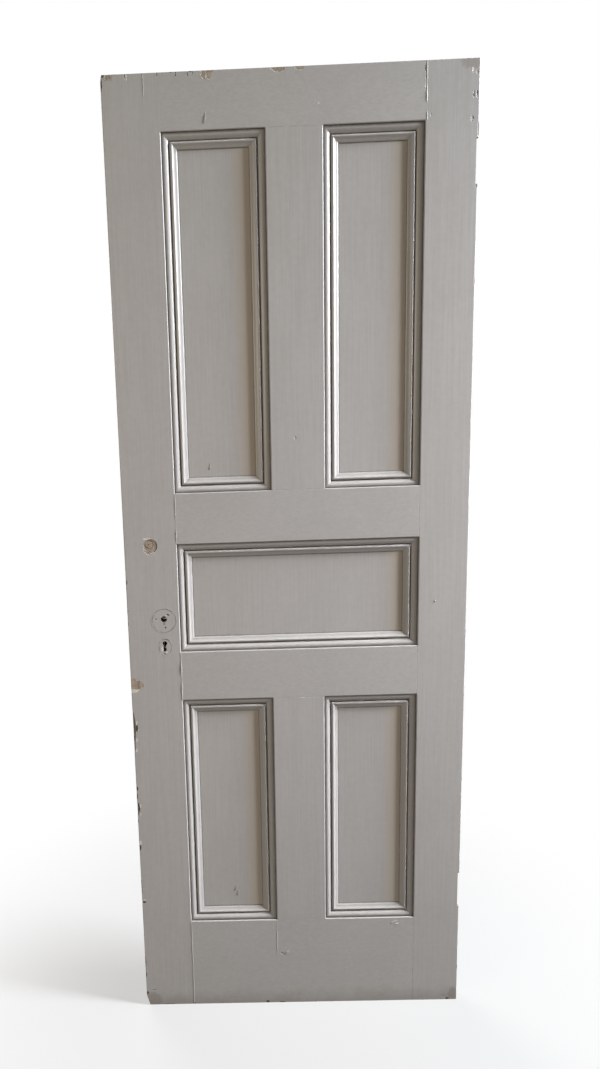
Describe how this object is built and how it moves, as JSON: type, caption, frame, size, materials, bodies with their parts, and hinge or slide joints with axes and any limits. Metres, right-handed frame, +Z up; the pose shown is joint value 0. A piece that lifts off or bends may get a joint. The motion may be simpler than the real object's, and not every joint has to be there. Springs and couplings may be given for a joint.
{
  "type": "panelled door leaf",
  "caption": "Old painted timber door leaf: flat panels in mitred mouldings, wedged through-tenoned rails, hinge gains and an empty lock mortise, with its hardware taken off.",
  "frame": {"origin": "under the middle of the leaf at its bottom edge, half way through its thickness", "axes": "+X from the lock edge to the hinge edge, +Y from the front face to the back face, +Z up"},
  "size_m": [0.7112, 0.035, 1.9812],
  "materials": {
    "frame_paint": "old brushed grey satin paint on softwood",
    "panel_paint": "old brushed grey satin paint on softwood",
    "moulding_paint": "thick grey satin paint on softwood",
    "bare_wood": "bare aged softwood",
    "brad_iron": "dull rusted iron"
  },
  "bodies": {
    "root": {"lock_stile": "frame_paint", "hinge_stile": "frame_paint", "top_rail": "frame_paint", "frieze_rail": "frame_paint", "lock_rail": "frame_paint", "bottom_rail": "frame_paint", "upper_muntin": "frame_paint", "lower_muntin": "frame_paint", "upper_left_panel": "panel_paint", "upper_right_panel": "panel_paint", "middle_panel": "panel_paint", "lower_left_panel": "panel_paint", "lower_right_panel": "panel_paint", "upper_left_left_moulding_front": "moulding_paint", "upper_left_left_moulding_back": "moulding_paint", "upper_left_right_moulding_front": "moulding_paint", "upper_left_right_moulding_back": "moulding_paint", "upper_left_bottom_moulding_front": "moulding_paint", "upper_left_bottom_moulding_back": "moulding_paint", "upper_left_top_moulding_front": "moulding_paint", "upper_left_top_moulding_back": "moulding_paint", "upper_right_left_moulding_front": "moulding_paint", "upper_right_left_moulding_back": "moulding_paint", "upper_right_right_moulding_front": "moulding_paint", "upper_right_right_moulding_back": "moulding_paint", "upper_right_bottom_moulding_front": "moulding_paint", "upper_right_bottom_moulding_back": "moulding_paint", "upper_right_top_moulding_front": "moulding_paint", "upper_right_top_moulding_back": "moulding_paint", "middle_left_moulding_front": "moulding_paint", "middle_left_moulding_back": "moulding_paint", "middle_right_moulding_front": "moulding_paint", "middle_right_moulding_back": "moulding_paint", "middle_bottom_moulding_front": "moulding_paint", "middle_bottom_moulding_back": "moulding_paint", "middle_top_moulding_front": "moulding_paint", "middle_top_moulding_back": "moulding_paint", "lower_left_left_moulding_front": "moulding_paint", "lower_left_left_moulding_back": "moulding_paint", "lower_left_right_moulding_front": "moulding_paint", "lower_left_right_moulding_back": "moulding_paint", "lower_left_bottom_moulding_front": "moulding_paint", "lower_left_bottom_moulding_back": "moulding_paint", "lower_left_top_moulding_front": "moulding_paint", "lower_left_top_moulding_back": "moulding_paint", "lower_right_left_moulding_front": "moulding_paint", "lower_right_left_moulding_back": "moulding_paint", "lower_right_right_moulding_front": "moulding_paint", "lower_right_right_moulding_back": "moulding_paint", "lower_right_bottom_moulding_front": "moulding_paint", "lower_right_bottom_moulding_back": "moulding_paint", "lower_right_top_moulding_front": "moulding_paint", "lower_right_top_moulding_back": "moulding_paint", "tenon_wedges": "bare_wood", "latch_hole_plug": "bare_wood", "moulding_brads": "brad_iron"}
  },
  "joints": []
}
